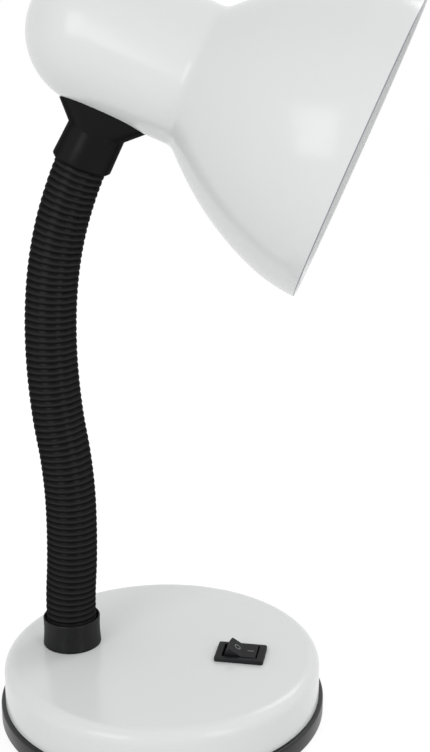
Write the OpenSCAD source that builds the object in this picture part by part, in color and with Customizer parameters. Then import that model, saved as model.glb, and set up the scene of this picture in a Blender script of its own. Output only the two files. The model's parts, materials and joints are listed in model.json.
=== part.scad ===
// Gooseneck desk lamp: round weighted base, ribbed bending neck and a bell shade.
// Millimetres. The origin is the centre of the footprint on the table, +Z is up
// and +X points to the front, the way the shade faces.

/* [Base] */
// Diameter of the black ring that the cover stands on
ring_d = 140; // [125:1:170]
// Height of the ring's ledge above the table
ring_h = 8.6; // [7:0.1:10]
// Width of the ledge that shows outside the cover
ledge_w = 1.9; // [1:0.1:4]
// Height of the cover's flat top above the table
base_h = 27.6; // [26:0.1:32]
// Rounding of the cover's top edge
cover_round = 5.5; // [3:0.5:7]
// Sheet thickness of the cover
cover_wall = 1.2; // [0.8:0.1:1.6]
// Thickness of the soft pad under the base
pad_t = 1; // [0.8:0.1:1.5]
// Floor thickness of the tray
tray_t = 2; // [1.5:0.1:2.5]
// Thickness of the iron ballast disc
weight_t = 9; // [6:0.5:10]
// Space between the iron ballast disc and the tray's lip
weight_gap = 4.6; // [4:0.1:8]
// Distance of the three posts inside the ring's outer edge
post_inset = 18; // [16:0.5:20]
// Diameter of a post
post_d = 8; // [7:0.5:9]
// Diameter of the posts' screws
screw_d = 3; // [2.5:0.5:4]
// Height of the cord inlet above the ledge
inlet_rise = 6.4; // [6:0.1:7]
// Hole through the cord inlet's grommet
inlet_bore_d = 6; // [5:0.5:6.5]

/* [Switch] */
// Distance of the switch inside the ring's outer edge
switch_inset = 35.6; // [34:0.1:40]
// Length of the switch bezel
bezel_l = 21; // [20:0.5:23]
// Width of the switch bezel
bezel_w = 15; // [14.5:0.5:18]
// Height of the bezel above the cover
bezel_h = 1.9; // [1.2:0.1:2.5]
// Length of the well that the rocker sits in
well_l = 15.9; // [15:0.1:17]
// Width of the well
well_w = 11; // [10:0.1:11.5]
// Depth of the switch body below the cover
switch_depth = 14; // [13:0.5:14.5]
// Swing of the rocker between on and off, in degrees
rocker_swing = 32; // [24:1:34]
// Height of the rocker's axle below the bezel's face
axle_drop = 2.5; // [2:0.1:3.5]
// Diameter of the rocker's axle
axle_d = 2.4; // [2:0.1:3]

/* [Neck] */
// Distance of the neck inside the ring's outer edge
neck_inset = 29.5; // [28:0.1:34]
// Diameter of the neck's sleeve at the foot
sleeve_d_foot = 21.6; // [21:0.1:23]
// Diameter of the neck's sleeve at the head
sleeve_d_head = 20.6; // [20.6:0.1:22]
// Distance from one sleeve rib to the next
rib_pitch = 2.7; // [2.4:0.1:3]
// Depth of the grooves between the ribs
rib_depth = 0.4; // [0.3:0.1:0.8]
// Ribs on each neck section
ribs_per_section = 6; // [6:1:7]
// Most that one neck joint bends, in degrees
joint_bend = 10; // [6:1:10]
// Outer diameter of the steel core
core_d = 16; // [15.6:0.1:16.4]
// Diameter of the core's balls
ball_d = 12; // [11.6:0.1:12.2]
// Diameter of the stem below a ball
stem_d = 8.4; // [7.6:0.1:8.6]
// Wire channel along the core
channel_d = 5.6; // [4:0.1:6]
// Sleeve between the foot collar's mouth and the first joint
foot_stub = 9; // [9:0.1:14]
// Sleeve between the last joint and the coupling's mouth
head_stub = 10; // [9:0.1:14]
// Outer diameter of the foot collar
collar_d = 24.3; // [24:0.1:30]
// Height of the foot collar
collar_h = 12.6; // [10:0.1:18]

/* [Coupling] */
// Tilt of the head below level, in degrees
head_tilt = 22.5; // [18:0.25:26]
// Diameter of the coupling's round end
coupling_d = 23; // [23:0.1:28]
// Length of the coupling's round end
coupling_neck_l = 15.5; // [12:0.1:20]
// Length of the coupling's saddle along the shade
saddle_l = 36.4; // [32:0.1:44]
// Width of the coupling's saddle across the shade
saddle_w = 25.4; // [24:0.1:27]
// Height of the flare between the round end and the tip of the saddle
flare_h = 6.8; // [6:0.1:8]
// Distance of the coupling behind the shade's waist
coupling_back = 32.5; // [31:0.1:36]

/* [Shade] */
// Diameter of the rear housing
housing_d = 55.5; // [54:0.1:58]
// Length of the housing's straight part
housing_l = 40.3; // [39:0.1:48]
// Diameter of the shade's rim
rim_d = 122; // [120:0.5:124]
// Sheet thickness of the shade
shade_wall = 1; // [0.8:0.1:1.4]

/* [Lamp holder and bulb] */
// Diameter of the lamp holder
holder_d = 27.6; // [24:0.1:29]
// Length of the lamp holder
holder_l = 28; // [26:0.5:30]
// Diameter of the bulb's glass globe
globe_d = 45; // [40:0.5:46]
// Diameter of the bulb's screw cap
cap_d = 14; // [13.6:0.1:14.4]
// Length of the bulb's screw cap
cap_l = 17; // [15:0.5:18]
// Thickness of the globe's glass
glass_t = 0.8; // [0.6:0.1:1.2]

/* [Fit] */
// Diameter of the threaded tubes that clamp both ends of the neck
nipple_d = 10; // [9:0.1:10.4]
// Wall of the threaded tubes
nipple_wall = 1.5; // [1:0.1:2]
// Height of the nuts
nut_h = 4; // [3:0.5:4.5]
// Distance across the flats of the nuts
nut_af = 14; // [13:0.5:15]
// Thickness of the washers
washer_t = 1; // [0.8:0.1:1.5]
// Space around pieces that are slid together
slide_gap = 0.15; // [0.1:0.05:0.2]
// Space around turning fits
turn_gap = 0.05; // [0.03:0.01:0.08]
// Space between moving pieces that aren't a fit
free_gap = 0.3; // [0.25:0.05:0.4]

/* [Hidden] */
$fn = 64;

white = "#E4E6E6";
black = "#26272A";
steel = "#9FA3A6";
brass = "#C9A550";
iron = "#4A4B4D";
opal = "#F3F1E8";
ceramic = "#D8D5CC";

far = 200;              // longer than any piece that is cut

// ---- base ----
ring_r = ring_d / 2;
cover_r = ring_r - ledge_w;
cover_in_r = cover_r - cover_wall;
cover_under = base_h - cover_wall;
tray_floor = pad_t + tray_t;
lip_w = 2;              // locating lip that the cover drops over
lip_h = 3;
ring_edge = 0.8;        // rounding of the ring's edges
pad_margin = 4;         // the pad stays this far inside the ring
screw_r = screw_d / 2;
screw_head_r = screw_d;
screw_head_h = 0.7 * screw_d;
boss_wall = 1.8;
boss_r = screw_head_r + boss_wall;
boss_top = tray_floor + 3;
post_len = cover_under - boss_top;
screw_grip = 6;         // thread that a screw has in its post
inlet_lip = 1.2;        // how far the grommet's flanges reach past its hole
inlet_hole_r = inlet_bore_d / 2 + 1;
inlet_flange_t = 1.5;
inlet_rim_t = 0.5;      // the outer flange hardly stands out from the cover
inlet_flange_r = inlet_hole_r + inlet_lip;
inlet_z = ring_h + inlet_rise;
post_circle_r = ring_r - post_inset;
posts = [for (i = [0:2]) 120 * i];
tray_lip_r = cover_in_r - slide_gap;
weight_r = tray_lip_r - lip_w - weight_gap;
window_room = 5;        // the ballast's window stays this far outside the switch body

// ---- switch ----
switch_x = ring_r - switch_inset;
body_l = well_l + 2.9;
body_w = well_w + 1.8;
axle_z = base_h + bezel_h - axle_drop;
axle_r = axle_d / 2;
well_floor = axle_z - 6.5;
switch_bottom = base_h - switch_depth;
bezel_corner = 1;
half_swing = rocker_swing / 2;
// The pressed end lies just above the bezel's face, near the end of the well
press_x = well_l / 2 - 3.5 * free_gap;
press_z = axle_drop + 0.2;
tip_r = norm([press_x, press_z]);
tip_a = atan2(press_z, press_x) + half_swing;
valley_z = press_z / cos(half_swing);
rocker_w = well_w - 2 * free_gap;
blade_x = 4;            // the two blades stand this far from the switch's centre
blade_t = 0.8;
blade_w = 4.8;
blade_l = 6.5;
blade_in = 3;
lug_h = 3;
lug_out = 0.7;

// ---- neck ----
neck_x = ring_r - neck_inset;
// Lean of each section from the vertical, from the foot up, in degrees.
// The ends are the upright stub in the foot collar and the tilted one in the coupling.
lean = [0, 3.5, 1.5, -1, -5, -8.5, -5.5, -2, 2, 6.5, 12, 18, head_tilt];
last = len(lean) - 1;
section_l = ribs_per_section * rib_pitch;
collar_floor = 2;
neck_seat = base_h + collar_floor;
collar_top = base_h + collar_h;
// Centre of each joint, one section further along the lean each time
function joint(k) = k == 0 ? [-neck_x, 0, collar_top + foot_stub]
    : joint(k - 1) + section_l * [sin(lean[k]), 0, cos(lean[k])];
// The sleeve keeps its width for most of the way and narrows towards the head
function sleeve_r(k) = (sleeve_d_foot + (sleeve_d_head - sleeve_d_foot) * pow(k / last, 3)) / 2;
core_r = core_d / 2;
ball_r = ball_d / 2;
stem_r = stem_d / 2;
channel_r = channel_d / 2;
socket_r = ball_r + 2 * turn_gap;
cup_rim = 2.6;          // the socket closes this far below the ball's centre
joint_gap = sleeve_d_foot * tan(joint_bend / 2) + free_gap;
rest_kink = 6;          // most that two sections are bent at rest
tilt_all = joint_bend + rest_kink;
// The shoulder stays clear of the tilted socket rim
shoulder_drop = cup_rim * cos(tilt_all) + core_r * sin(tilt_all) + free_gap;
rim_room = core_r * cos(tilt_all) + cup_rim * sin(tilt_all) + free_gap;
foot_drop = foot_stub + collar_top - neck_seat;
grip_l = 8;             // thread that a nipple has in the core
sleeve_in = 2.5;        // how far the sleeve enters the coupling
core_in = 9;            // how far the core enters the coupling
rib_top = 0.48 * rib_pitch;
rib_root = 0.7 * rib_pitch;
collar_flare = 0.5;
mouth_depth = 1.5;      // countersink round the neck at the collar's mouth

// ---- coupling and head ----
neck_end = joint(last - 1) + head_stub * [sin(head_tilt), 0, cos(head_tilt)];
coupling_r = coupling_d / 2;
coupling_mouth_r = coupling_r + 0.45;
housing_r = housing_d / 2;
housing_in_r = housing_r - shade_wall;
mouth_chamfer = 1.8;
coupling_h = coupling_neck_l + flare_h;
axis_rise = coupling_h + housing_r;
nipple_r = nipple_d / 2;
nipple_bore_r = nipple_r - nipple_wall;

// Bell outline in the plane of the shade's axis: x is the distance along the axis from the
// waist, y the radius. Arcs are [centre x, centre y, radius, first angle, last angle].
waist_x = -3.4;         // the housing's straight part ends here
waist_r = 6;            // hollow curve of the waist
waist_slope = 42;       // slope that the bell starts with
bell_r1 = 120;          // first, flatter curve of the bell
bell_slope = 19.5;      // slope where the second curve takes over
bell_r2 = 65;           // second curve, which turns to the rim
rim_slope = 2;          // slope that the bell ends with
arc_step = 3;
waist_end = [waist_x + waist_r * sin(waist_slope), housing_r + waist_r * (1 - cos(waist_slope))];
// The flat cone between the waist and the bell takes up what the rim's diameter leaves
bell_rise = bell_r1 * (cos(bell_slope) - cos(waist_slope))
    + bell_r2 * (cos(rim_slope) - cos(bell_slope));
cone_rise = rim_d / 2 - waist_end[1] - bell_rise;
bell_start = waist_end + cone_rise * [1 / tan(waist_slope), 1];
c1 = bell_start + bell_r1 * [sin(waist_slope), -cos(waist_slope)];
bell_mid = c1 + bell_r1 * [-sin(bell_slope), cos(bell_slope)];
c2 = bell_mid + bell_r2 * [sin(bell_slope), -cos(bell_slope)];
rim_point = c2 + bell_r2 * [-sin(rim_slope), cos(rim_slope)];
function arc(c, r, a0, a1, n) = [for (i = [0:n]) let (a = a0 + (a1 - a0) * i / n)
    c + r * [cos(a), sin(a)]];
function steps(a0, a1, step) = max(2, ceil(abs(a1 - a0) / step));
back_x = waist_x - housing_l;
// Outline of the shade, set in by the wall for the inner side
function shade_line(inset) = concat(
    arc([back_x, 0], housing_r - inset, 180, 90, steps(180, 90, 2 * arc_step)),
    arc([waist_x, housing_r + waist_r], waist_r + inset, -90, waist_slope - 90,
        steps(0, waist_slope, 2 * arc_step)),
    arc(c1, bell_r1 - inset, 90 + waist_slope, 90 + bell_slope,
        steps(waist_slope, bell_slope, arc_step)),
    arc(c2, bell_r2 - inset, 90 + bell_slope - 1, 90 + rim_slope,
        steps(bell_slope, rim_slope, arc_step)));

// ---- lamp holder and bulb ----
holder_r = holder_d / 2;
holder_back = -22;      // back of the holder along the shade's axis
holder_front = holder_back + holder_l;
plate_t = 1.5;
bracket_w = 16;
bracket_h = 38;
bracket_foot = sqrt(housing_in_r * housing_in_r - bracket_w * bracket_w / 4);
bracket_back = -45;
cap_r = cap_d / 2;
cap_wall = 0.5;
cap_front = holder_front - 2;
cap_back = cap_front - cap_l;
tip_l = 1.5;
shell_t = 0.5;
shell_r = cap_r + shell_t;
tongue_back = holder_back + 4;
globe_r = globe_d / 2;
glass_neck_r = cap_r - cap_wall;
glass_in = 6;           // how far the glass stands in the cap
swell_r = 9;            // hollow curve between the glass neck and the globe
// The globe's centre follows from a hollow curve that starts square on the neck's end
globe_x = cap_front + sqrt(pow(globe_r + swell_r, 2) - pow(glass_neck_r + swell_r, 2));
swell_a = asin((glass_neck_r + swell_r) / (globe_r + swell_r));
back_screw_y = 8;
back_screw_l = 7;
lead_r = 1.6;
lead_sides = 8;

// ---- helpers ----
// Half of a round-edged cover profile, measured from the axis
module cover_profile(r, h, round_r) {
    square([r - round_r, h]);
    square([r, h - round_r]);
    translate([r - round_r, h - round_r]) circle(round_r);
}

// Round tube between two heights
module tube(r_out, r_in, z0, z1) {
    translate([0, 0, z0]) difference() {
        cylinder(h = z1 - z0, r = r_out);
        translate([0, 0, -1]) cylinder(h = z1 - z0 + 2, r = r_in);
    }
}

// Block centred on x and y, between two heights
module block(l, w, z0, z1) {
    translate([-l / 2, -w / 2, z0]) cube([l, w, z1 - z0]);
}

// Block with round upright corners
module round_block(l, w, z0, z1, r) {
    block(l - 2 * r, w, z0, z1);
    block(l, w - 2 * r, z0, z1);
    for (x = [-1, 1], y = [-1, 1])
        translate([x * (l / 2 - r), y * (w / 2 - r), z0]) cylinder(h = z1 - z0, r = r);
}

// Places what stands on the post circle
module at_posts() {
    for (a = posts) rotate([0, 0, a]) translate([post_circle_r, 0, 0]) children();
}

// Places a piece in the frame of neck section k: origin at its lower joint, Z along it
module at_section(k) {
    translate(k == 0 ? joint(0) : joint(k - 1)) rotate([0, lean[k], 0]) children();
}

// Origin at the coupling's mouth, Z along the coupling, X along the shade's axis
module at_head() {
    translate(neck_end) rotate([0, head_tilt, 0]) children();
}

// Z along the shade's axis, origin at the waist
module at_axis() {
    at_head() translate([coupling_back, 0, axis_rise]) rotate([0, 90, 0]) children();
}

// Skin through rings of equal count, each ring a list of points
module skin(rings) {
    n = len(rings[0]);
    m = len(rings);
    points = [for (ring = rings, p = ring) p];
    sides = [for (j = [0:m - 2], i = [0:n - 1]) each [
        [j * n + i, (j + 1) * n + i, (j + 1) * n + (i + 1) % n],
        [j * n + i, (j + 1) * n + (i + 1) % n, j * n + (i + 1) % n]]];
    low = [[for (i = [0:n - 1]) i]];
    high = [[for (i = [n - 1:-1:0]) (m - 1) * n + i]];
    polyhedron(points, concat(sides, low, high));
}

// Round lead swept along a route in the plane y = 0
module lead(route) {
    m = len(route);
    skin([for (j = [0:m - 1])
        let (a = route[max(j - 1, 0)], b = route[min(j + 1, m - 1)],
             d = (b - a) / norm(b - a), side = [d[1], -d[0]])
        [for (i = [0:lead_sides - 1]) let (t = -360 * i / lead_sides)
            [route[j][0] + lead_r * cos(t) * side[0], lead_r * sin(t),
             route[j][1] + lead_r * cos(t) * side[1]]]]);
}

// Smooth route through hand-picked points, as rounded corners of a polyline
function bend(p, n) = concat([p[0]], [for (i = [1:len(p) - 2], j = [0:n])
    let (a = (p[i - 1] + p[i]) / 2, c = (p[i] + p[i + 1]) / 2, t = j / n,
         a2 = i == 1 ? p[0] * 0.4 + p[1] * 0.6 : a,
         c2 = i == len(p) - 2 ? p[i] * 0.6 + p[i + 1] * 0.4 : c)
    if (j < n || i == len(p) - 2)
    (1 - t) * (1 - t) * a2 + 2 * t * (1 - t) * p[i] + t * t * c2], [p[len(p) - 1]]);

// Hexagon nut with its threaded hole
module hex_nut(z0, z1) {
    difference() {
        translate([0, 0, z0]) rotate([0, 0, 30])
            cylinder(h = z1 - z0, r = nut_af / 2 / cos(30), $fn = 6);
        translate([0, 0, z0 - 1]) cylinder(h = z1 - z0 + 2, r = nipple_r);
    }
}

// ---- base ----
module foot_pad() {
    color("#1B1B1C") difference() {
        cylinder(h = pad_t, r = ring_r - pad_margin);
        at_posts() translate([0, 0, -1]) cylinder(h = pad_t + 2, r = screw_head_r);
    }
}

module base_tray() {
    ring_w = ring_r - tray_lip_r + lip_w;
    ring_t = ring_h - pad_t;
    color(black) difference() {
        union() {
            translate([0, 0, pad_t]) rotate_extrude() {
                square([ring_r - ring_edge, tray_t]);
                translate([tray_lip_r - lip_w, 0]) {
                    square([lip_w, ring_t + lip_h]);
                    square([ring_w - ring_edge, ring_t]);
                    translate([0, ring_edge]) square([ring_w, ring_t - 2 * ring_edge]);
                    for (y = [ring_edge, ring_t - ring_edge])
                        translate([ring_w - ring_edge, y]) circle(ring_edge);
                }
            }
            at_posts() translate([0, 0, pad_t]) cylinder(h = boss_top - pad_t, r = boss_r);
        }
        at_posts() {
            translate([0, 0, -1]) cylinder(h = far, r = screw_r + slide_gap);
            translate([0, 0, pad_t - 1])
                cylinder(h = screw_head_h + 1, r = screw_head_r + slide_gap);
        }
        // Notch in the lip for the grommet's inner flange
        translate([-tray_lip_r, 0, 0]) block(4 * lip_w, 2 * (inlet_flange_r + free_gap),
            inlet_z - inlet_flange_r - free_gap, base_h);
    }
}

module tray_screws() {
    color(steel) at_posts() difference() {
        union() {
            translate([0, 0, pad_t]) cylinder(h = screw_head_h, r = screw_head_r);
            translate([0, 0, pad_t]) cylinder(h = boss_top + screw_grip - pad_t, r = screw_r);
        }
        for (a = [0, 90]) rotate([0, 0, a])
            block(0.7 * screw_d, 0.2 * screw_d, pad_t - 1, pad_t + 0.5 * screw_head_h);
    }
}

module base_weight() {
    color(iron) difference() {
        translate([0, 0, tray_floor]) cylinder(h = weight_t, r = weight_r);
        at_posts() translate([0, 0, tray_floor - 1])
            cylinder(h = weight_t + 2, r = boss_r + free_gap);
        translate([switch_x, 0, 0])
            round_block(body_l + 2 * window_room + 2, body_w + 2 * window_room, tray_floor - 1,
                tray_floor + weight_t + 1, window_room);
    }
}

module cover_posts() {
    color(steel) at_posts() difference() {
        translate([0, 0, boss_top]) cylinder(h = post_len, r = post_d / 2);
        translate([0, 0, boss_top - 1]) cylinder(h = screw_grip + 2, r = screw_r);
    }
}

module base_cover() {
    color(white) difference() {
        translate([0, 0, ring_h]) rotate_extrude() intersection() {
            difference() {
                cover_profile(cover_r, base_h - ring_h, cover_round);
                translate([0, -cover_wall])
                    cover_profile(cover_in_r, base_h - ring_h, cover_round - cover_wall);
            }
            square(far);
        }
        translate([-neck_x, 0, cover_under - 1]) cylinder(h = far, r = nipple_r + slide_gap);
        translate([switch_x, 0, 0])
            round_block(body_l + 2 * slide_gap, body_w + 2 * slide_gap, cover_under - 1,
                base_h + 1, bezel_corner);
        translate([-far, 0, inlet_z]) rotate([0, 90, 0]) cylinder(h = far, r = inlet_hole_r);
    }
}

module cable_grommet() {
    out_x = cover_r;
    // The inner flange starts where the round wall has fallen back at its edge
    in_x = sqrt(cover_in_r * cover_in_r - inlet_flange_r * inlet_flange_r);
    color(black) translate([0, 0, inlet_z]) rotate([0, -90, 0]) difference() {
        union() {
            translate([0, 0, out_x]) cylinder(h = inlet_rim_t, r = inlet_flange_r);
            translate([0, 0, in_x - inlet_flange_t])
                cylinder(h = out_x - in_x + inlet_flange_t + inlet_rim_t / 2, r = inlet_hole_r);
            translate([0, 0, in_x - inlet_flange_t])
                cylinder(h = inlet_flange_t, r = inlet_flange_r);
        }
        translate([0, 0, in_x - 2 * inlet_flange_t])
            cylinder(h = far, r = inlet_bore_d / 2);
    }
}

// ---- switch ----
module blade_slots() {
    for (x = [-blade_x, blade_x]) translate([x, 0, 0])
        block(blade_t, blade_w, switch_bottom - 1, switch_bottom + blade_in);
}

module switch_housing() {
    color(black) translate([switch_x, 0, 0]) difference() {
        union() {
            round_block(bezel_l, bezel_w, base_h, base_h + bezel_h, bezel_corner);
            block(body_l, body_w, switch_bottom, base_h + bezel_h / 2);
            // Spring lugs that catch under the cover's sheet
            for (m = [0, 1]) mirror([m, 0, 0])
                translate([body_l / 2, body_w / 4, cover_under]) rotate([90, 0, 0])
                    linear_extrude(body_w / 2)
                        polygon([[-0.5, 0], [lug_out, 0], [0, -lug_h], [-0.5, -lug_h]]);
        }
        block(well_l, well_w, well_floor, base_h + bezel_h + 1);
        translate([0, 0, axle_z]) rotate([90, 0, 0])
            cylinder(h = body_w + 2, r = axle_r + turn_gap, center = true);
        blade_slots();
    }
}

module switch_rocker() {
    skirt_a = -15;
    nose_w = 2.2;
    nose_z = -5;
    arc_n = 8;
    right = arc([0, 0], tip_r, tip_a, skirt_a, arc_n);
    left = [for (i = [len(right) - 1:-1:0]) [-right[i][0], right[i][1]]];
    skirt_z = tip_r * sin(skirt_a);
    color(black) translate([switch_x, 0, axle_z]) rotate([0, half_swing, 0]) {
        rotate([90, 0, 0]) linear_extrude(rocker_w, center = true)
            polygon(concat([[0, valley_z]], right, [[nose_w, skirt_z], [nose_w, nose_z],
                [-nose_w, nose_z], [-nose_w, skirt_z]], left));
        rotate([90, 0, 0]) cylinder(h = body_w, r = axle_r, center = true);
    }
}

module switch_terminals() {
    color(brass) translate([switch_x, 0, 0]) for (x = [-blade_x, blade_x])
        translate([x, 0, 0])
            block(blade_t, blade_w, switch_bottom - blade_l, switch_bottom + blade_in);
}

module switch_lead() {
    start_x = switch_x - blade_x - blade_t / 2;
    start_z = switch_bottom - blade_l / 2;
    // The lead climbs midway between the switch body and the edge of the ballast's window
    climb_x = switch_x - body_l / 2 - (window_room + 1) / 2;
    run_z = tray_floor + weight_t + 3.6;
    entry_z = cover_under - washer_t - nut_h - 1.5;
    color("#E9E9E6") lead(bend([[start_x, start_z], [climb_x, start_z],
        [climb_x, run_z], [-10, run_z], [-neck_x + 8, run_z - 0.5],
        [-neck_x, run_z], [-neck_x, entry_z + 4], [-neck_x, neck_seat + grip_l]], 3));
}

// ---- neck foot ----
module neck_foot_collar() {
    bore_r = sleeve_d_foot / 2 + slide_gap;
    collar_r = collar_d / 2;
    waist_z = base_h + collar_h * 0.6;
    color(black) translate([-neck_x, 0, 0]) difference() {
        // The collar is waisted: widest where it stands on the cover
        rotate_extrude() polygon([[0, base_h], [collar_r + collar_flare, base_h],
            [collar_r + collar_flare, base_h + 1], [collar_r + collar_flare / 3, base_h + 4],
            [collar_r, waist_z], [collar_r + collar_flare / 3, collar_top - 0.4],
            [collar_r - 0.2, collar_top], [0, collar_top]]);
        translate([0, 0, neck_seat]) cylinder(h = far, r = bore_r);
        translate([0, 0, base_h - 1]) cylinder(h = far, r = nipple_r + slide_gap);
        translate([0, 0, collar_top - mouth_depth])
            cylinder(h = mouth_depth + 0.01, r1 = bore_r, r2 = collar_r - 0.6);
    }
}

module neck_foot_nipple() {
    color(brass) translate([-neck_x, 0, 0])
        tube(nipple_r, nipple_bore_r, cover_under - washer_t - nut_h - 1,
            neck_seat + grip_l);
}

module neck_foot_washer() {
    color(steel) translate([-neck_x, 0, 0])
        tube(nut_af / 2 + 1.5, nipple_r + slide_gap, cover_under - washer_t, cover_under);
}

module neck_foot_nut() {
    color(brass) translate([-neck_x, 0, 0])
        hex_nut(cover_under - washer_t - nut_h, cover_under - washer_t);
}

// ---- neck ----
// Ball on its stem, centred on the joint at the top of a section
module ball_stem(z) {
    translate([0, 0, z]) {
        sphere(ball_r);
        translate([0, 0, -shoulder_drop - 0.5]) cylinder(h = shoulder_drop, r = stem_r);
    }
}

module neck_core(k) {
    first = k == 0;
    top = first ? 0 : section_l;
    low = first ? -foot_drop : -cup_rim;
    high = k == last ? head_stub + core_in : top - shoulder_drop;
    color(steel) at_section(k) difference() {
        union() {
            translate([0, 0, low]) cylinder(h = high - low, r = core_r);
            if (k < last) ball_stem(top);
        }
        translate([0, 0, low - 1]) cylinder(h = far, r = channel_r);
        if (!first) sphere(socket_r);
        if (first) translate([0, 0, low - 1]) cylinder(h = grip_l + 1, r = nipple_r);
        if (k == last) translate([0, 0, high - grip_l]) cylinder(h = far, r = nipple_r);
    }
}

// Ribbed skin between two heights, with whole ribs counted from the first height
module ribbed(r, z0, z1) {
    n = floor((z1 - z0) / rib_pitch + 0.01);
    root = r - rib_depth;
    ribs = [for (i = [0:n - 1]) let (c = z0 + (i + 0.5) * rib_pitch) each [
        [root, c - rib_root / 2], [r, c - rib_top / 2],
        [r, c + rib_top / 2], [root, c + rib_root / 2]]];
    rotate_extrude() polygon(concat([[0, z0], [root, z0]], ribs, [[root, z1], [0, z1]]));
}

// Everything past the plane that halves the bend at a joint, gap included
module past_joint(side, turn) {
    size = 40;
    rotate([0, turn, 0]) translate([-size, -size, side > 0 ? -joint_gap / 2
        : joint_gap / 2 - size]) cube([2 * size, 2 * size, size]);
}

module neck_sleeve(k) {
    first = k == 0;
    top = first ? 0 : section_l;
    color(black) at_section(k) difference() {
        if (first) mirror([0, 0, 1]) ribbed(sleeve_r(k), 0, foot_drop);
        else ribbed(sleeve_r(k), 0, k == last ? head_stub + sleeve_in : section_l);
        translate([0, 0, first ? -foot_drop - 1 : -1]) cylinder(h = far, r = core_r);
        if (k < last) {
            translate([0, 0, top - shoulder_drop]) cylinder(h = far, r = rim_room);
            translate([0, 0, top]) past_joint(1, (lean[k + 1] - lean[k]) / 2);
        }
        if (!first) past_joint(-1, (lean[k - 1] - lean[k]) / 2);
    }
}

// ---- coupling ----
module top_coupling() {
    sides = 48;
    mouth_lip = 0.25;
    // Straight flare: it goes on past the saddle's tips at the same slope, up to where the
    // saddle's sides meet the housing, and the housing then cuts its hollow
    side_rise = housing_r - sqrt(housing_r * housing_r - saddle_w * saddle_w / 4) + 0.5;
    grow = (flare_h + side_rise) / flare_h;
    mouth_r = sleeve_r(last) + slide_gap + mouth_lip;
    // Each ring is [half length, half width, squareness, height]; 1 is an ellipse
    rings = [[mouth_r, mouth_r, 1, 0], [coupling_mouth_r, coupling_mouth_r, 1, mouth_chamfer],
        [coupling_r, coupling_r, 1, coupling_neck_l],
        [coupling_r + (saddle_l / 2 - coupling_r) * grow, saddle_w / 2, 0.7,
            coupling_h + side_rise]];
    function square_off(v, k) = sign(v) * pow(abs(v), k);
    color(black) at_head() difference() {
        skin([for (r = rings) [for (i = [0:sides - 1]) let (a = -360 * i / sides)
            [r[0] * square_off(cos(a), r[2]), r[1] * square_off(sin(a), r[2]), r[3]]]]);
        translate([-far / 2, 0, axis_rise]) rotate([0, 90, 0]) cylinder(h = far, r = housing_r);
        translate([0, 0, -1]) cylinder(h = sleeve_in + 1, r = sleeve_r(last) + slide_gap);
        translate([0, 0, -1]) cylinder(h = core_in + 1, r = core_r);
        translate([0, 0, -1]) cylinder(h = far, r = nipple_r + slide_gap);
    }
}

plate_z = axis_rise - bracket_foot;      // the bracket's foot plate, from the coupling's mouth
nut_z = plate_z + plate_t + washer_t;

module head_nipple() {
    color(brass) at_head() tube(nipple_r, nipple_bore_r, core_in - grip_l, nut_z + nut_h + 1);
}

module head_washer() {
    color(steel) at_head()
        tube(nut_af / 2 + 0.8, nipple_r + slide_gap, plate_z + plate_t, nut_z);
}

module head_nut() {
    color(brass) at_head() hex_nut(nut_z, nut_z + nut_h);
}

// ---- shade ----
module shade() {
    outer = shade_line(0);
    inner = shade_line(shade_wall);
    color(white) difference() {
        at_axis() rotate_extrude($fn = 128)
            polygon(concat([for (p = outer) [max(p[1], 0), p[0]]],
                [for (i = [len(inner) - 1:-1:0]) [max(inner[i][1], 0), inner[i][0]]]));
        at_head() cylinder(h = axis_rise, r = nipple_r + slide_gap);
    }
}

// ---- lamp holder ----
module holder_bracket() {
    back = coupling_back + bracket_back;
    face = coupling_back + holder_back;
    color(steel) at_head() difference() {
        union() {
            translate([back, -bracket_w / 2, plate_z])
                cube([face - back, bracket_w, plate_t]);
            translate([face - plate_t, -bracket_w / 2, plate_z])
                cube([plate_t, bracket_w, bracket_h]);
        }
        cylinder(h = far, r = nipple_r + slide_gap);
        translate([face - far / 2, 0, axis_rise]) rotate([0, 90, 0])
            cylinder(h = far, r = lead_r + 2);
        at_back_screws() cylinder(h = far, r = screw_r + slide_gap, center = true);
    }
}

module at_back_screws() {
    translate([coupling_back + holder_back, 0, axis_rise])
        for (z = [-back_screw_y, back_screw_y])
            translate([0, 0, z]) rotate([0, 90, 0]) children();
}

module holder_screws() {
    color(steel) at_head() at_back_screws() difference() {
        union() {
            translate([0, 0, -plate_t - 1.6]) cylinder(h = 1.6, r = screw_head_r - 0.2);
            translate([0, 0, -plate_t - 1]) cylinder(h = plate_t + back_screw_l + 1, r = screw_r);
        }
        block(screw_d * 2.4, 0.6, -plate_t - 3, -plate_t - 0.9);
    }
}

module holder_body() {
    mouth_r = shell_r + 2;
    color(ceramic) at_axis() difference() {
        union() {
            translate([0, 0, holder_back]) cylinder(h = holder_l, r = holder_r - 1.5);
            translate([0, 0, holder_back]) cylinder(h = holder_l - 6, r = holder_r);
            translate([0, 0, holder_front - 2]) cylinder(h = 2, r = holder_r);
        }
        translate([0, 0, tongue_back]) cylinder(h = far, r = shell_r);
        translate([0, 0, holder_front - 3]) cylinder(h = 3.01, r1 = shell_r, r2 = mouth_r);
        translate([0, 0, holder_back - 1]) cylinder(h = 6, r = lead_r + 0.2);
        for (x = [-back_screw_y, back_screw_y]) translate([x, 0, holder_back - 1])
            cylinder(h = back_screw_l + 1, r = screw_r);
    }
}

module holder_shell() {
    color(brass) at_axis() tube(shell_r, cap_r, cap_back, holder_front - 3);
}

module holder_contact() {
    color(brass) at_axis() translate([0, 0, tongue_back])
        cylinder(h = cap_back - tip_l - tongue_back, r = 3);
}

module head_lead() {
    start = [0, nut_z + nut_h - 4];
    end = [coupling_back + holder_back + 4, axis_rise];
    color("#E9E9E6") at_head() lead(bend([start, [start[0], start[1] + 8],
        [start[0] - 3, end[1] - 1], [end[0] - 9, end[1]], end], 4));
}

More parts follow.
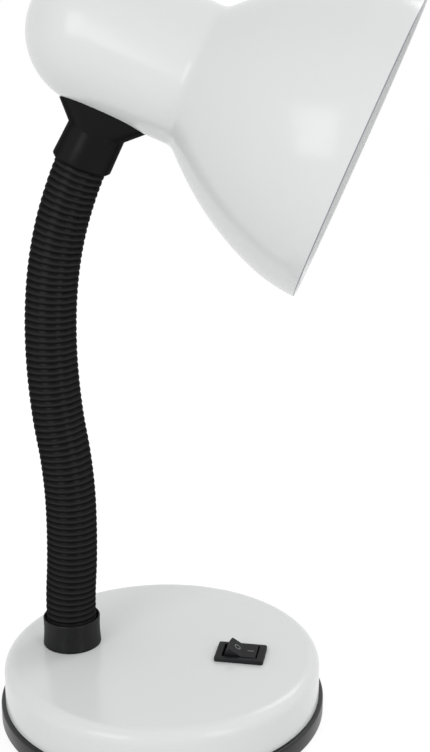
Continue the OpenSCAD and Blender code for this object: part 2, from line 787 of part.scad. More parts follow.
// ---- bulb ----
module bulb_cap() {
    color(steel) at_axis() difference() {
        translate([0, 0, cap_back]) cylinder(h = cap_l, r = cap_r);
        translate([0, 0, cap_back + 1]) cylinder(h = far, r = cap_r - cap_wall);
    }
}

module bulb_contact() {
    color(iron) at_axis() translate([0, 0, cap_back - tip_l]) cylinder(h = tip_l, r = 2.4);
}

// Outline of the glass: straight neck in the cap, hollow swell, then the globe
function glass_line(inset) = concat(
    [[glass_neck_r - inset, cap_front - glass_in]],
    [for (p = arc([glass_neck_r + swell_r, cap_front], swell_r + inset, 180, 90 + swell_a, 6)) p],
    [for (p = arc([0, globe_x], globe_r - inset, swell_a - 90, 90, 20)) [max(p[0], 0), p[1]]]);

module bulb_globe() {
    outer = glass_line(0);
    inner = glass_line(glass_t);
    color(opal) at_axis() rotate_extrude()
        polygon(concat(outer, [for (i = [len(inner) - 1:-1:0]) inner[i]]));
}

foot_pad();
base_tray();
tray_screws();
base_weight();
cover_posts();
base_cover();
cable_grommet();
switch_housing();
switch_rocker();
switch_terminals();
switch_lead();
neck_foot_collar();
neck_foot_nipple();
neck_foot_washer();
neck_foot_nut();
for (k = [0:last]) {
    neck_core(k);
    neck_sleeve(k);
}
top_coupling();
head_nipple();
head_washer();
head_nut();
shade();
holder_bracket();
holder_screws();
holder_body();
holder_shell();
holder_contact();
head_lead();
bulb_globe();
bulb_cap();
bulb_contact();
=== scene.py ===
# %% [markdown]
# # A gooseneck desk lamp
# The lamp has a round weighted base with a rocker switch, a ribbed neck that bends and stays
# where it is put, and a white bell shade. The construction comes in as a finished frame.
# Each piece that shows gets a smoother skin here, built about the frame's own measures, and
# every piece gets its finish. The pieces are drawn in millimetres and turned into metres once,
# when they are finished. The camera, the lamps and the finishes are in metres from the start.

# %% Load the frame
import json
import math
import bmesh
import bpy
from mathutils import Matrix, Vector


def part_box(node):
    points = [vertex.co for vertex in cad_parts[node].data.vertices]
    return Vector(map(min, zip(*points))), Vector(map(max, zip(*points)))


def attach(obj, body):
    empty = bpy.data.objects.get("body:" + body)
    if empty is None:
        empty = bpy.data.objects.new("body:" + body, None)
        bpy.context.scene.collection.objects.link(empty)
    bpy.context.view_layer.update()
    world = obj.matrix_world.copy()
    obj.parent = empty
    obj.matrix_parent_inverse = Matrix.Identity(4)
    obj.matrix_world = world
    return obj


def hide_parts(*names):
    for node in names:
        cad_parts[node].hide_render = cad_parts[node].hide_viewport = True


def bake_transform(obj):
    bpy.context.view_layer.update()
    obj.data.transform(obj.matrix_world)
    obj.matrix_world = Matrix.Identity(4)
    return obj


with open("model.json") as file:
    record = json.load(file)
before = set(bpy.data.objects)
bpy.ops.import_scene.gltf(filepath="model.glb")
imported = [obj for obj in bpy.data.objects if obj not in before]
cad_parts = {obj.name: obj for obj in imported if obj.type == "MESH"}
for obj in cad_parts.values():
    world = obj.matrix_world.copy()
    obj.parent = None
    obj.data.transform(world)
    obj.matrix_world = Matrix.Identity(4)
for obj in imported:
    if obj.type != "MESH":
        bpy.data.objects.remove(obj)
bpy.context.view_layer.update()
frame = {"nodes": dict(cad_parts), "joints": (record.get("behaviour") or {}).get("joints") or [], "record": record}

MM = 0.001

# %% [markdown]
# ## Measuring the frame
# A skin has to sit where its piece of the frame sits. The places could be typed in again, but
# then they would part from the frame when a size changes. So the main ones are read from the
# boxes round the frame's pieces.


# %% Measuring helpers
def foot_of(node):
    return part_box(node)[0].z / MM


def top_of(node):
    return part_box(node)[1].z / MM


def radius_of(node):
    """Radius of a round piece that stands about the middle of the base."""
    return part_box(node)[1].x / MM


def centre_of(node):
    low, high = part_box(node)
    return (low + high) / 2 / MM


print("base", round(2 * radius_of("base_tray"), 1), "mm across, top at",
      round(top_of("base_cover"), 1), "mm")

# %% [markdown]
# ## Drawing tools
# Most of this lamp is round: an outline is drawn beside an axis and spun round it. A cylinder
# with a bevel could stand in for such a piece, but an outline holds walls, lips and hollows
# in one go. The outline's corners are rounded first, because even a crisp moulding has a small
# radius that catches the light, and a corner with none looks like paper.


# %% Outline and spin
def rounded(points, closed=True, steps=5):
    """Rounds an outline's corners. A point is (radius, height) or (radius, height, rounding)."""
    out = []
    count = len(points)
    for i, point in enumerate(points):
        here = Vector(point[:2])
        size = point[2] if len(point) > 2 else 0
        if size == 0 or (not closed and i in (0, count - 1)):
            out.append(here)
            continue
        before = (Vector(points[i - 1][:2]) - here).normalized()
        after = (Vector(points[(i + 1) % count][:2]) - here).normalized()
        half = before.angle(after) / 2
        reach = size / math.tan(half)
        centre = here + (before + after).normalized() * size / math.sin(half)
        start = here + before * reach - centre
        end = here + after * reach - centre
        turn = start.angle_signed(end)
        for k in range(steps + 1):
            spot = start.copy()
            spot.rotate(Matrix.Rotation(-turn * k / steps, 2))
            out.append(centre + spot)
    return out


def spun(outline, steps=96, closed=True):
    """Spins an outline of (radius, height) points about Z into a closed shell."""
    bm = bmesh.new()
    verts = [bm.verts.new((max(p[0], 0), 0, p[1])) for p in outline]
    pairs = list(zip(verts, verts[1:])) + ([(verts[-1], verts[0])] if closed else [])
    edges = [bm.edges.new(pair) for pair in pairs]
    bmesh.ops.spin(bm, geom=verts + edges, cent=(0, 0, 0), axis=(0, 0, 1),
                   angle=math.tau, steps=steps, use_merge=True)
    bmesh.ops.remove_doubles(bm, verts=bm.verts, dist=0.0005)
    bmesh.ops.dissolve_degenerate(bm, edges=bm.edges, dist=0.0001)
    return bm


# %% [markdown]
# ## From a drawing to a piece
# A bmesh is only a drawing until it becomes an object that rides on a body of the frame. All
# pieces take the same steps. They could be written out for each piece, but one function keeps
# them alike: into place, into metres, normals outwards, smooth faces with sharp edges where the
# surface really turns, a finish, and a body of the frame to ride on.

# %% Finish a piece
crease_angle = 32


def in_metres(bm, place):
    if place:
        bmesh.ops.transform(bm, matrix=place, verts=bm.verts)
    bmesh.ops.scale(bm, vec=(MM, MM, MM), verts=bm.verts)
    bmesh.ops.recalc_face_normals(bm, faces=bm.faces)


def mark_creases(bm, angle):
    for edge in bm.edges:
        edge.smooth = len(edge.link_faces) < 2 or edge.calc_face_angle(0) < math.radians(angle)


def object_from(bm, name):
    mesh = bpy.data.meshes.new(name)
    bm.to_mesh(mesh)
    bm.free()
    made = bpy.data.objects.new(name, mesh)
    bpy.context.scene.collection.objects.link(made)
    return made


def piece(bm, name, body, material, replaces=(), place=None, crease=crease_angle):
    """Makes a lamp piece out of a bmesh that is drawn in millimetres."""
    in_metres(bm, place)
    for face in bm.faces:
        face.smooth = True
    mark_creases(bm, crease)
    made = object_from(bm, name)
    made.data.materials.append(material)
    if body:
        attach(made, body)
    if replaces:
        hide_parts(*replaces)
    print(name, len(made.data.polygons), "faces")
    return made


# %% [markdown]
# ## Ways to finish a surface
# An even colour looks like a screen and not like a thing. A picture of the surface could be
# wrapped round it, but noise on the piece's own coordinates has no seams and stays with the
# piece when it moves. Noise only changes what really varies on such a lamp: how rough the
# surface is, how it ripples and how it is mottled. A steady value sits on the shader itself.


# %% A shared way to set up a finish
def shader_of(made):
    return made.node_tree.nodes["Principled BSDF"]


def finish(name, color, roughness, **sockets):
    """A finish with steady values; a socket's name is written with _ for its spaces."""
    made = bpy.data.materials.new(name)
    made.use_nodes = True
    shader = shader_of(made)
    shader.inputs["Base Color"].default_value = (*color, 1)
    shader.inputs["Roughness"].default_value = roughness
    for socket, value in sockets.items():
        shader.inputs[socket.replace("_", " ")].default_value = value
    return made


def noise(made, scale, detail):
    """Noise on the piece's own coordinates; scale counts ripples in a metre."""
    tree = made.node_tree
    place = tree.nodes.new("ShaderNodeTexCoord")
    spots = tree.nodes.new("ShaderNodeTexNoise")
    spots.inputs["Scale"].default_value = scale
    spots.inputs["Detail"].default_value = detail
    tree.links.new(place.outputs["Object"], spots.inputs["Vector"])
    return spots.outputs["Fac"]


def ramp(made, source, colors, positions=(0, 1)):
    """Turns a number between 0 and 1 into a colour between two colours."""
    tree = made.node_tree
    blend = tree.nodes.new("ShaderNodeValToRGB")
    for element, color, position in zip(blend.color_ramp.elements, colors, positions):
        element.position = position
        element.color = (*color, 1)
    tree.links.new(source, blend.inputs["Fac"])
    tree.links.new(blend.outputs["Color"], shader_of(made).inputs["Base Color"])


# %% Ripples, gloss and colour
def rippled(made, scale, height, detail=2.0):
    """Raises fine ripples, height in metres."""
    tree = made.node_tree
    bump = tree.nodes.new("ShaderNodeBump")
    bump.inputs["Distance"].default_value = height
    bump.inputs["Strength"].default_value = 1
    tree.links.new(noise(made, scale, detail), bump.inputs["Height"])
    tree.links.new(bump.outputs["Normal"], shader_of(made).inputs["Normal"])


def uneven_gloss(made, scale, low, high):
    """Lets the roughness wander between two values."""
    tree = made.node_tree
    spread = tree.nodes.new("ShaderNodeMapRange")
    # Noise seldom leaves the range from 0.3 to 0.7
    spread.inputs["From Min"].default_value = 0.3
    spread.inputs["From Max"].default_value = 0.7
    spread.inputs["To Min"].default_value = low
    spread.inputs["To Max"].default_value = high
    tree.links.new(noise(made, scale, 3.0), spread.inputs["Value"])
    tree.links.new(spread.outputs["Result"], shader_of(made).inputs["Roughness"])


def dull_edges(made, high):
    """Roughens the gloss where the surface turns away, as on fine-grained black plastic."""
    tree = made.node_tree
    roughness = shader_of(made).inputs["Roughness"]
    away = tree.nodes.new("ShaderNodeLayerWeight")
    away.inputs["Blend"].default_value = 0.5
    spread = tree.nodes.new("ShaderNodeMapRange")
    spread.inputs["From Min"].default_value = 0.12
    spread.inputs["From Max"].default_value = 0.5
    tree.links.new(away.outputs["Facing"], spread.inputs["Value"])
    mix = tree.nodes.new("ShaderNodeMix")
    mix.inputs["B"].default_value = high
    tree.links.new(spread.outputs["Result"], mix.inputs["Factor"])
    tree.links.new(roughness.links[0].from_socket, mix.inputs["A"])
    tree.links.new(mix.outputs["Result"], roughness)


def mottled(made, scale, dark, light):
    """Lets the colour wander between two colours."""
    ramp(made, noise(made, scale, 4.0), (dark, light), (0.35, 0.65))


# %% [markdown]
# ## Colour that follows the shape
# Two colours on this lamp are painted by place on the surface. The sleeve's beads are painted
# lighter on their crests as a painted highlight, and near black in their grooves as painted
# shade. The shade's hem is painted grey, as painted shade along the rim's edge. Noise can't know
# where that is, and a mask painted by hand would have to follow some eighty beads. So the piece
# carries a number on its points, and the finish blends by that number.


# %% Numbers on the points
def carry(bm, mark, share):
    """Writes a number between 0 and 1 on every point of a bmesh."""
    layer = bm.verts.layers.float.new(mark)
    for vert in bm.verts:
        vert[layer] = share(vert.co)


def coloured_by(made, mark, plain, marked):
    """Blends two colours by a number that the piece carries on its points."""
    carried = made.node_tree.nodes.new("ShaderNodeAttribute")
    carried.attribute_name = mark
    ramp(made, carried.outputs["Fac"], (plain, marked))


# %% [markdown]
# ## White enamel
# The cover and the shade are sprayed and baked: a slightly cool white with a soft gloss, which
# shows the lamps as pale patches with blurred borders. A second coat of gloss could be laid
# over a matt white, but one shader with a low roughness gives the same patches.

# %% White enamel
enamel_white = (0.79, 0.805, 0.80)
# The hem's grey is painted shade: a dark line along the rim's edge
hem_painted_shade = (0.28, 0.29, 0.33)


def enamel(name):
    made = finish(name, enamel_white, 0.2, Specular_IOR_Level=0.36)
    rippled(made, 500, 0.000004)
    uneven_gloss(made, 300, 0.18, 0.22)
    return made


white_enamel = enamel("white_enamel")
shade_enamel = enamel("shade_enamel")
# The shade's hem is painted grey, as painted shade along the rim
coloured_by(shade_enamel, "hem", enamel_white, hem_painted_shade)
print("enamels:", white_enamel.name, shade_enamel.name)

# %% [markdown]
# ## Black plastics and vinyl
# The lamp has six blacks: the moulding of the coupling and grommet, the tray, the collar, the
# switch, the sleeve's vinyl and the pad's foam. They differ little in colour, and mainly in how
# they shine. One black for all would be simpler, but side by side it would look like one lump.
# Fine-grained plastic also loses its gloss where it turns away from the eye, so its edges are
# dulled. The marks on the switch are printed in grey.

# %% Black plastics
black_moulding = finish("black_moulding", (0.0008, 0.0008, 0.0009), 0.29,
                        Specular_IOR_Level=0.14)
rippled(black_moulding, 2600, 0.000006)
uneven_gloss(black_moulding, 90, 0.27, 0.31)
dull_edges(black_moulding, 0.95)

tray_plastic = finish("tray_plastic", (0.009, 0.009, 0.0095), 0.33, Specular_IOR_Level=0.3)
rippled(tray_plastic, 2600, 0.000010)
uneven_gloss(tray_plastic, 90, 0.31, 0.36)

collar_plastic = finish("collar_plastic", (0.005, 0.005, 0.0056), 0.27, Specular_IOR_Level=0.25)
rippled(collar_plastic, 2600, 0.000008)
uneven_gloss(collar_plastic, 90, 0.25, 0.29)
dull_edges(collar_plastic, 0.6)

switch_black = finish("switch_black", (0.008, 0.008, 0.0095), 0.3, Specular_IOR_Level=0.25)
rippled(switch_black, 5000, 0.000006)
uneven_gloss(switch_black, 200, 0.28, 0.36)
dull_edges(switch_black, 0.7)
print("plastics:", black_moulding.name, tray_plastic.name, collar_plastic.name,
      switch_black.name)

# %% Vinyl, print and foam
ribbed_vinyl = finish("ribbed_vinyl", (0.001, 0.001, 0.0011), 0.29, Specular_IOR_Level=0.075)
# The crest colour is a painted highlight on each bead, and the near-black colour is painted shade in the grooves
coloured_by(ribbed_vinyl, "crest", (0.0002, 0.0002, 0.0002), (0.0225, 0.0225, 0.023))
rippled(ribbed_vinyl, 1800, 0.000008)
uneven_gloss(ribbed_vinyl, 120, 0.26, 0.32)
dull_edges(ribbed_vinyl, 0.95)

mark_print = finish("mark_print", (0.2, 0.2, 0.2), 0.5)
mottled(mark_print, 3000, (0.17, 0.17, 0.17), (0.23, 0.23, 0.23))

black_foam = finish("black_foam", (0.018, 0.018, 0.018), 0.95, Specular_IOR_Level=0.2)
rippled(black_foam, 1500, 0.00015, 6)
mottled(black_foam, 1500, (0.010, 0.010, 0.010), (0.026, 0.026, 0.026))
print("vinyl, print and foam:", ribbed_vinyl.name, mark_print.name, black_foam.name)

# %% [markdown]
# ## Metals, ceramic and glass
# These sit under the base or inside the shade. The metals are mottled as plating and castings
# are, the holder is glazed, and the bulb is coated on the inside, so light spreads in it. Clear
# glass with a white layer behind it would cost more light paths and look the same.

# %% Metals
cast_iron = finish("cast_iron", (0.08, 0.08, 0.08), 0.7, Metallic=1.0)
rippled(cast_iron, 700, 0.00012, 6)
mottled(cast_iron, 200, (0.06, 0.058, 0.055), (0.11, 0.11, 0.11))

zinc_plate = finish("zinc_plate", (0.56, 0.57, 0.58), 0.35, Metallic=1.0)
rippled(zinc_plate, 1500, 0.00001, 3)
mottled(zinc_plate, 250, (0.48, 0.49, 0.50), (0.62, 0.62, 0.60))

turned_brass = finish("turned_brass", (0.72, 0.52, 0.22), 0.3, Metallic=1.0)
rippled(turned_brass, 900, 0.00001, 3)
mottled(turned_brass, 150, (0.62, 0.44, 0.18), (0.76, 0.57, 0.27))

rolled_cap = finish("rolled_cap", (0.66, 0.66, 0.66), 0.28, Metallic=1.0)
rippled(rolled_cap, 1200, 0.00001)
mottled(rolled_cap, 300, (0.6, 0.6, 0.6), (0.7, 0.7, 0.7))
print("metals:", cast_iron.name, zinc_plate.name, turned_brass.name, rolled_cap.name)

# %% Lead, ceramic and glass
white_lead = finish("white_lead", (0.74, 0.74, 0.71), 0.45)
rippled(white_lead, 1500, 0.00001)
mottled(white_lead, 80, (0.70, 0.70, 0.67), (0.77, 0.77, 0.74))

glazed_ceramic = finish("glazed_ceramic", (0.70, 0.68, 0.62), 0.18, Coat_Weight=0.6,
                        Coat_Roughness=0.06)
rippled(glazed_ceramic, 260, 0.00004)
mottled(glazed_ceramic, 400, (0.66, 0.64, 0.58), (0.72, 0.70, 0.65))

opal_glass = finish("opal_glass", (0.90, 0.89, 0.86), 0.22, Coat_Weight=0.5,
                    Coat_Roughness=0.08, Subsurface_Weight=0.2, Subsurface_Scale=0.004)
rippled(opal_glass, 120, 0.00003)
uneven_gloss(opal_glass, 50, 0.2, 0.26)
print("inside the shade:", white_lead.name, glazed_ceramic.name, opal_glass.name)

# %% [markdown]
# ## The camera
# The camera stands where the photographer's stood, about half a metre from the lamp, as high as
# its shade and looking down. A camera could be pointed by eye, but this place was worked out from
# the ellipses of the base, because a near camera changes the shape of every one of them.

# %% Camera
lens = bpy.data.cameras.new("camera")
lens.lens = 60
lens.sensor_width = 36
camera = bpy.data.objects.new("camera", lens)
camera.location = (0.10772, -0.47985, 0.29174)
camera.rotation_euler = (math.radians(73.99), 0, math.radians(9.994))
bpy.context.scene.collection.objects.link(camera)
bpy.context.scene.camera = camera
bpy.context.scene.view_settings.view_transform = "Standard"
print("camera at", tuple(round(v, 3) for v in camera.location), "m")

# %% [markdown]
# ## White surroundings
# The lamp stands on white before white. Strong light on a white table would give that, but it
# would wash out the enamel too. So the room and the table answer two kinds of rays: they are
# white to the camera, to mirrors and through glass, so that gloss shows the white as well, and
# to soft light they are a pale room and a matt table.


# %% What a ray sees
def seen_white(tree):
    """1 for rays from the camera, from mirrors and through glass, and 0 for soft light."""
    rays = tree.nodes.new("ShaderNodeLightPath")
    either = tree.nodes.new("ShaderNodeMath")
    either.operation = "MAXIMUM"
    tree.links.new(rays.outputs["Is Camera Ray"], either.inputs[0])
    tree.links.new(rays.outputs["Is Glossy Ray"], either.inputs[1])
    any_of = tree.nodes.new("ShaderNodeMath")
    any_of.operation = "MAXIMUM"
    tree.links.new(either.outputs[0], any_of.inputs[0])
    tree.links.new(rays.outputs["Is Transmission Ray"], any_of.inputs[1])
    return any_of.outputs[0]


def choose_by_ray(tree, soft, seen, output):
    """Gives soft light one shader, and rays that see the background the other."""
    choose = tree.nodes.new("ShaderNodeMixShader")
    tree.links.new(seen_white(tree), choose.inputs["Fac"])
    tree.links.new(soft.outputs[0], choose.inputs[1])
    tree.links.new(seen.outputs[0], choose.inputs[2])
    tree.links.new(choose.outputs[0], tree.nodes[output].inputs["Surface"])


# %% Room
world = bpy.data.worlds.new("studio")
bpy.context.scene.world = world
world.use_nodes = True
tree = world.node_tree
room = tree.nodes["Background"]
room.inputs["Color"].default_value = (1, 1, 1, 1)
room.inputs["Strength"].default_value = 0.635
white = tree.nodes.new("ShaderNodeBackground")
white.inputs["Color"].default_value = (1, 1, 1, 1)
white.inputs["Strength"].default_value = 1
choose_by_ray(tree, room, white, "World Output")
print("room at", round(room.inputs["Strength"].default_value, 3))

# %% Table
table_white = bpy.data.materials.new("table_white")
table_white.use_nodes = True
tree = table_white.node_tree
tree.nodes.remove(tree.nodes["Principled BSDF"])
matt = tree.nodes.new("ShaderNodeBsdfDiffuse")
matt.inputs["Color"].default_value = (0.8, 0.8, 0.8, 1)
# What the camera sees is mostly a steady white, with enough matt in it to show a shadow
faint = tree.nodes.new("ShaderNodeBsdfDiffuse")
faint.inputs["Color"].default_value = (0.22, 0.22, 0.22, 1)
glow = tree.nodes.new("ShaderNodeEmission")
glow.inputs["Strength"].default_value = 0.86
both = tree.nodes.new("ShaderNodeAddShader")
tree.links.new(faint.outputs[0], both.inputs[0])
tree.links.new(glow.outputs[0], both.inputs[1])
choose_by_ray(tree, matt, both, "Material Output")

table_half = 3
below_pad = 0.0001
bm = bmesh.new()
bmesh.ops.create_grid(bm, x_segments=1, y_segments=1, size=table_half)
bmesh.ops.translate(bm, vec=(0, 0, -below_pad), verts=bm.verts)
table = object_from(bm, "table")
table.data.materials.append(table_white)
print("table", 2 * table_half, "m wide")

# %% [markdown]
# ## Soft lamps
# Three softboxes light the lamp. One stands in front on the left and one on the right, and they
# draw the long highlights on the neck and the pale patches on the enamel. The third stands high
# behind on the right and lights the top and the far side. A small lamp would give as much light
# with small hard highlights, so each one has the size of a real softbox.

# %% Soft lamps
lamp_aim = Vector((0.02, 0, 0.2))


def soft_lamp(name, where, width, height, power):
    """A softbox that faces the lamp; metres and watts."""
    light = bpy.data.lights.new(name, "AREA")
    light.shape = "RECTANGLE"
    light.size = width
    light.size_y = height
    light.energy = power
    made = bpy.data.objects.new(name, light)
    made.location = where
    made.rotation_euler = (lamp_aim - Vector(where)).to_track_quat("-Z", "Y").to_euler()
    bpy.context.scene.collection.objects.link(made)
    print(name, power, "W,", width, "x", height, "m")


soft_lamp("key_soft", (-0.38, -0.86, 0.51), 0.46, 0.54, 2.2)
soft_lamp("right_soft", (0.75, -0.63, 0.46), 0.3, 0.58, 1.52)
soft_lamp("rear_soft", (0.562, 0.646, 0.907), 0.5, 0.5, 2.4)

# %% [markdown]
# ## Cutting holes
# The real sheet is punched. In a model a hole could be left open when the faces are made, but a
# hole in a round wall has no simple outline of its own. So a bar is set where the hole is and
# taken away with a boolean. Afterwards the sharp edges are marked again.


# %% Bars, places and cuts
def rod(radius, low, high, steps=48):
    """A plain round bar along Z."""
    bm = bmesh.new()
    bmesh.ops.create_cone(bm, cap_ends=True, segments=steps, radius1=radius, radius2=radius,
                          depth=high - low)
    bmesh.ops.translate(bm, vec=(0, 0, (low + high) / 2), verts=bm.verts)
    return bm


def turned(degrees, axis):
    return Matrix.Rotation(math.radians(degrees), 4, axis)


def moved(x, y, z):
    return Matrix.Translation((x, y, z))


def cutter(bm, place=None):
    """A bare shape in metres that is only used to cut or to join."""
    in_metres(bm, place)
    return object_from(bm, "cutter")


def cut(target, tool, operation="DIFFERENCE"):
    """Takes the tool's shape out of the target and deletes the tool."""
    knife = target.modifiers.new("cut", "BOOLEAN")
    knife.operation = operation
    knife.solver = "EXACT"
    knife.object = tool
    shaped = bpy.data.meshes.new_from_object(
        target.evaluated_get(bpy.context.evaluated_depsgraph_get()))
    target.modifiers.clear()
    bm = bmesh.new()
    bm.from_mesh(shaped)
    mark_creases(bm, crease_angle)
    bm.to_mesh(shaped)
    bm.free()
    old = target.data
    target.data = shaped
    bpy.data.meshes.remove(old)
    bpy.data.objects.remove(tool)
    print(target.name, "now", len(shaped.polygons), "faces")


# %% [markdown]
# ## The base cover
# The cover is a steel disc pressed into a lid: a flat top, a rounded shoulder and a straight
# side. It is spun from its section, wall and all. Near the flat top the outline has one more
# point just before the rounding starts, so that the shading of the flat stays flat. The hole
# for the cord is cut through the rear of the side afterwards.

# %% Base cover
cover_top, cover_foot = top_of("base_cover"), foot_of("base_cover")
cover_r = radius_of("base_cover")
cover_round, cover_wall, rim_round = 5.5, 1.2, 0.3
inner_r = cover_r - cover_wall
outline = rounded([(0, cover_top), (cover_r - cover_round - 1, cover_top),
                   (cover_r, cover_top, cover_round), (cover_r, cover_foot, rim_round),
                   (inner_r, cover_foot, rim_round),
                   (inner_r, cover_top - cover_wall, cover_round - cover_wall),
                   (0, cover_top - cover_wall)], closed=False, steps=16)
base_cover = piece(spun(outline, 160, closed=False), "base_cover_skin", "base",
                   white_enamel, ["base_cover"])

inlet_r = 4
inlet_place = moved(0, 0, centre_of("cable_grommet").z) @ turned(-90, "Y")
cut(base_cover, cutter(rod(inlet_r, cover_r - 8, cover_r + 7), inlet_place))

# %% [markdown]
# ## The tray and its pad
# The tray is the black ring that shows below the cover as a ledge. It is a shallow moulded dish
# with a lip that holds the cover in place, and under it sits a foam pad that keeps the lamp
# from sliding. Both could be plain cylinders, but then the lip would be missing, so they are
# spun from their sections. Three screws go up through both, and their holes are cut with bars
# that stand round a circle.

# %% Base tray
ring_r = radius_of("base_tray")
pad_top = foot_of("base_tray")
ring_round, tray_floor = 0.8, 2
lip_r, lip_rise, lip_wall = inner_r - 0.15, 1, 2
outline = rounded([(0, pad_top), (ring_r, pad_top, ring_round),
                   (ring_r, cover_foot, ring_round), (lip_r, cover_foot),
                   (lip_r, cover_foot + lip_rise), (lip_r - lip_wall, cover_foot + lip_rise),
                   (lip_r - lip_wall, pad_top + tray_floor), (0, pad_top + tray_floor)],
                  closed=False)
tray = piece(spun(outline, 160, closed=False), "base_tray_skin", "base",
             tray_plastic, ["base_tray"])

post_circle, tray_hole_r, pad_hole_r = 52, 3.15, 3
screw_places = [turned(angle, "Z") @ moved(post_circle, 0, 0) for angle in (0, 120, 240)]
for place in screw_places:
    cut(tray, cutter(rod(tray_hole_r, pad_top - 1, pad_top + tray_floor + 0.1), place))

# %% Foot pad
pad_r, pad_round = 66, 0.3
outline = rounded([(0, 0), (pad_r, 0, pad_round), (pad_r, pad_top, pad_round), (0, pad_top)],
                  closed=False)
pad = piece(spun(outline, 128, closed=False), "foot_pad_skin", "base", black_foam,
            ["foot_pad"])
for place in screw_places:
    cut(pad, cutter(rod(pad_hole_r, -1, pad_top + 1), place))

# %% [markdown]
# ## The cord inlet
# A soft grommet lines the hole at the rear. It has a flange on each side of the wall, and the
# cord would pass through its middle. A torus would look much the same from outside, but the
# section is spun about the hole's axis, so that both flanges are there. The inner one is flat and
# the wall is round, so it starts where its edge just clears the wall.

# %% Cord inlet grommet
flange_r, bore_in, flange_rise = 5.2, 3, 0.5
flange_in = math.sqrt(inner_r**2 - flange_r**2)
outline = rounded([(bore_in, flange_in - 1.5, 0.4), (flange_r, flange_in - 1.5, 0.4),
                   (flange_r, flange_in), (inlet_r, flange_in), (inlet_r, cover_r),
                   (flange_r, cover_r), (flange_r, cover_r + flange_rise, 0.35),
                   (bore_in, cover_r + flange_rise, 0.35)])
piece(spun(outline, 48), "cable_grommet_skin", "base", black_moulding,
      ["cable_grommet"], inlet_place)

# %% [markdown]
# ## The switch frame
# A standard switch snaps into the cover: a bezel with softened edges, a body that goes down
# through a hole in the cover, and a well in which the rocker moves. Each is a block, the
# bezel's edges are bevelled while it is still a block, and then the body is joined on and the
# well cut out. One drawn outline couldn't give the bezel its two kinds of edges.


# %% Blocks, bevels and joins
def block(width, depth, low, high):
    """A plain block about Z, from one height to another."""
    bm = bmesh.new()
    bmesh.ops.create_cube(bm, size=1)
    bmesh.ops.scale(bm, vec=(width, depth, high - low), verts=bm.verts)
    bmesh.ops.translate(bm, vec=(0, 0, (low + high) / 2), verts=bm.verts)
    return bm


def bevel(bm, edges, size, steps=4):
    bmesh.ops.bevel(bm, geom=edges, offset=size, offset_type="OFFSET", affect="EDGES",
                    segments=steps, profile=0.5, material=-1, clamp_overlap=True)


def upright(edge):
    a, b = edge.verts
    return abs(a.co.z - b.co.z) > 0.9 * (a.co - b.co).length


def fuse(target, other):
    """Joins the other shape to the target."""
    cut(target, other, "UNION")


# %% Switch frame
switch_x = centre_of("switch_housing").x
bezel_top, switch_foot = top_of("switch_housing"), foot_of("switch_housing")
axle_z = bezel_top - 2.5
switch_place = moved(switch_x, 0, 0)
bezel_l, bezel_w, body_l, body_w = 21, 15, 18.8, 12.8
well_l, well_w, well_depth = 15.3, 11, 6.5
corner_bevel, edge_bevel = 0.8, 0.45
hole_gap = 0.3

bm = block(bezel_l, bezel_w, cover_top, bezel_top)
bevel(bm, [e for e in bm.edges if upright(e)], corner_bevel)
bevel(bm, [e for e in bm.edges if min(v.co.z for v in e.verts) > bezel_top - 0.01], edge_bevel)
bezel = piece(bm, "switch_frame", "base", switch_black, ["switch_housing"],
              switch_place)
body = block(body_l, body_w, switch_foot, cover_top + 0.5)
fuse(bezel, cutter(body, switch_place))
well = block(well_l, well_w, axle_z - well_depth, bezel_top + 2)
cut(bezel, cutter(well, switch_place))
hole = block(body_l + hole_gap, body_w + hole_gap, cover_top - 3, cover_top + 1)
cut(base_cover, cutter(hole, switch_place))

# %% [markdown]
# ## The rocker
# The rocker is a shallow V, and it tips on an axle below the bezel. It could be cut out of a
# block with wedges, but it is shorter to draw its side. Half an outline is mirrored, so both ends
# match, and then it is extruded to its width. The raised ends get a small bevel, where a finger
# would feel an edge.


# %% Angles in degrees
def sin(degrees):
    return math.sin(math.radians(degrees))


def cos(degrees):
    return math.cos(math.radians(degrees))


def tan(degrees):
    return math.tan(math.radians(degrees))


# %% Rocker
tilt_angle = 16
valley = 2.7 / cos(tilt_angle)
valley_half = 2.2
rocker_width = 10.4
half = [(0, valley), (valley_half, valley + valley_half * tan(tilt_angle)), (5.888, 4.498),
        (6.55, 2.8), (6.9, 0.6), (6.9, -1.6)]
side = half + [(-x, z) for x, z in reversed(half[1:])]
bm = bmesh.new()
face = bm.faces.new([bm.verts.new((x, -rocker_width / 2, z)) for x, z in side])
grown = bmesh.ops.extrude_face_region(bm, geom=[face])
bmesh.ops.translate(bm, vec=(0, rocker_width, 0),
                    verts=[v for v in grown["geom"] if isinstance(v, bmesh.types.BMVert)])
bevel(bm, [e for e in bm.edges if min(v.co.z for v in e.verts) > 4.49], edge_bevel)
tilt = moved(switch_x, 0, axle_z) @ turned(tilt_angle, "Y")
piece(bm, "switch_rocker_skin", "rocker", switch_black, ["switch_rocker"],
      tilt)

# %% [markdown]
# ## The marks
# The rocker has the usual marks, a ring for off and a bar for on, printed thin and grey. They
# could be painted with a texture, but two thin solids stay sharp from near by. Each is sunk a
# little into the rocker's face and stands out by three hundredths of a millimetre.

# %% Marks on the rocker
sunk, proud = -0.1, 0.03
off_x, on_x = -2.5, 3.4
ring_in, ring_out, bar_l, bar_w = 1.1, 1.42, 2.8, 0.4
off_ring = spun([(ring_in, sunk), (ring_out, sunk), (ring_out, proud), (ring_in, proud)], 48)
off_face = moved(off_x, 0.5, valley - off_x * tan(tilt_angle)) @ turned(tilt_angle, "Y")
piece(off_ring, "mark_off", "rocker", mark_print, place=tilt @ off_face)
on_bar = block(bar_l, bar_w, sunk, proud)
on_face = moved(on_x, 0.4, valley + on_x * tan(tilt_angle)) @ turned(-tilt_angle, "Y")
piece(on_bar, "mark_on", "rocker", mark_print, place=tilt @ on_face)

# %% [markdown]
# ## The foot collar
# A short moulded collar holds the neck's foot, and the sleeve stands in it. Its side is a little
# hollow between a wider foot and a thin lip. A cylinder could be pulled in with loop cuts, but in
# a spun section two large roundings give the same hollow and its sizes stay readable.

